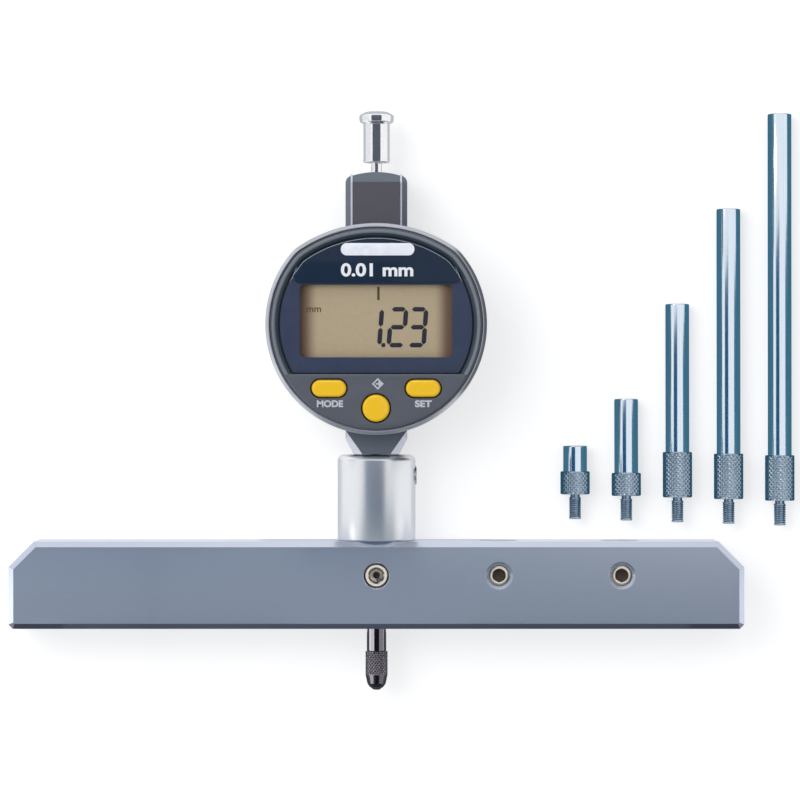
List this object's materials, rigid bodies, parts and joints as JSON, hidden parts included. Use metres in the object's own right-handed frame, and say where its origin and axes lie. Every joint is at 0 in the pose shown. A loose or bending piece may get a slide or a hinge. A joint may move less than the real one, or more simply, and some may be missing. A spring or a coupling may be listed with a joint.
{
  "type": "depth gauge",
  "caption": "Digital depth gauge on its back: round display head, sprung spindle with lifting cap, sleeve, long chamfered base bar, and loose threaded extension rods beside it.",
  "frame": {"origin": "on the spindle's axis, level with the base bar's measuring face", "axes": "+X along the base bar, +Y up the spindle towards the lifting cap, +Z out of the display; the gauge lies on its back"},
  "size_m": [0.1615, 0.1188, 0.0237],
  "materials": {
    "bar_steel": "hardened steel, ground to a fine satin",
    "set_screw_steel": "oiled alloy steel",
    "sleeve_chrome": "satin chrome plate on turned steel",
    "stem_steel": "ground stainless steel",
    "bush_bronze": "sintered bronze",
    "seal_rubber": "moulded nitrile",
    "case_paint": "die-cast case in metallic grey paint",
    "cover_plastic": "moulded glass-filled plastic",
    "neck_plastic": "moulded dark grey plastic",
    "head_plastic": "silver-grey painted moulding",
    "bezel_plastic": "moulded grey plastic",
    "panel_navy": "gloss navy back-printed sheet",
    "window_clear": "clear acrylic",
    "lcd_glass": "reflective liquid crystal cell",
    "screw_steel": "zinc-plated steel",
    "contact_rubber": "zebra elastomer",
    "board_green": "solder-masked glass epoxy",
    "chip_black": "moulded epoxy",
    "membrane_silicone": "moulded silicone",
    "contact_metal": "stamped spring steel",
    "key_yellow": "moulded yellow plastic",
    "battery_steel": "nickel-plated steel can",
    "inner_plastic": "moulded acetal",
    "spring_steel": "drawn spring wire",
    "spindle_steel": "ground and polished stainless steel",
    "contact_steel": "knurled hardened steel",
    "cap_chrome": "polished chrome plate",
    "scale_epoxy": "etched copper on glass epoxy",
    "rod_steel": "polished and knurled steel"
  },
  "bodies": {
    "gauge": {"base_bar": "bar_steel", "spigot_set_screw": "set_screw_steel", "spare_set_screws": "set_screw_steel", "sleeve_clamp_screw": "set_screw_steel", "stem_sleeve": "sleeve_chrome", "indicator_stem": "stem_steel", "lower_guide_bush": "bush_bronze", "upper_guide_bush": "bush_bronze", "spindle_wiper": "seal_rubber", "case_gasket": "seal_rubber", "stop_buffer": "seal_rubber", "indicator_case": "case_paint", "back_cover": "cover_plastic", "battery_lid": "cover_plastic", "upper_neck_plate": "neck_plastic", "lower_neck_plate": "neck_plastic", "head_shell": "head_plastic", "front_bezel": "bezel_plastic", "display_panel": "panel_navy", "crown_panel": "panel_navy", "display_window": "window_clear", "lcd_cell": "lcd_glass", "back_cover_screws": "screw_steel", "head_screws": "screw_steel", "lcd_contact_strips": "contact_rubber", "main_circuit_board": "board_green", "sensor_board": "board_green", "circuit_chips": "chip_black", "board_header": "chip_black", "keypad_membrane": "membrane_silicone", "key_switches": "contact_metal", "battery_contacts": "contact_metal", "battery": "battery_steel", "battery_holder": "inner_plastic", "guide_rail": "inner_plastic", "return_spring": "spring_steel", "spring_post": "spring_steel"},
    "spindle_unit": {"spindle": "spindle_steel", "contact_point": "contact_steel", "lifting_cap": "cap_chrome", "scale_carrier": "inner_plastic", "guide_pin": "spring_steel", "scale_strip": "scale_epoxy"},
    "mode_key_body": {"mode_key": "key_yellow"},
    "set_key_body": {"set_key": "key_yellow"},
    "output_key_body": {"output_key": "key_yellow"},
    "rod_10_body": {"extension_rod_10": "rod_steel"},
    "rod_20_body": {"extension_rod_20": "rod_steel"},
    "rod_40_body": {"extension_rod_40": "rod_steel"},
    "rod_60_body": {"extension_rod_60": "rod_steel"},
    "rod_80_body": {"extension_rod_80": "rod_steel"}
  },
  "joints": [
    {"name": "spindle_slide", "type": "slide", "parent": "gauge", "child": "spindle_unit", "axis": [0, 1, 0], "range_m": [0, 0.013], "stiffness_N_per_m": 60, "springref_m": -0.015, "deforming": ["return_spring"]},
    {"name": "mode_key_press", "type": "slide", "parent": "gauge", "child": "mode_key_body", "axis": [0, 0, -1], "range_m": [0, 0.0004], "stiffness_N_per_m": 1500, "springref_m": -0.0002},
    {"name": "set_key_press", "type": "slide", "parent": "gauge", "child": "set_key_body", "axis": [0, 0, -1], "range_m": [0, 0.0004], "stiffness_N_per_m": 1500, "springref_m": -0.0002},
    {"name": "output_key_press", "type": "slide", "parent": "gauge", "child": "output_key_body", "axis": [0, 0, -1], "range_m": [0, 0.0004], "stiffness_N_per_m": 1500, "springref_m": -0.0002},
    {"name": "rod_10_lift", "type": "slide", "parent": "gauge", "child": "rod_10_body", "axis": [0, 0, 1], "range_m": [0, 0.03]},
    {"name": "rod_20_lift", "type": "slide", "parent": "gauge", "child": "rod_20_body", "axis": [0, 0, 1], "range_m": [0, 0.03]},
    {"name": "rod_40_lift", "type": "slide", "parent": "gauge", "child": "rod_40_body", "axis": [0, 0, 1], "range_m": [0, 0.03]},
    {"name": "rod_60_lift", "type": "slide", "parent": "gauge", "child": "rod_60_body", "axis": [0, 0, 1], "range_m": [0, 0.03]},
    {"name": "rod_80_lift", "type": "slide", "parent": "gauge", "child": "rod_80_body", "axis": [0, 0, 1], "range_m": [0, 0.03]}
  ]
}
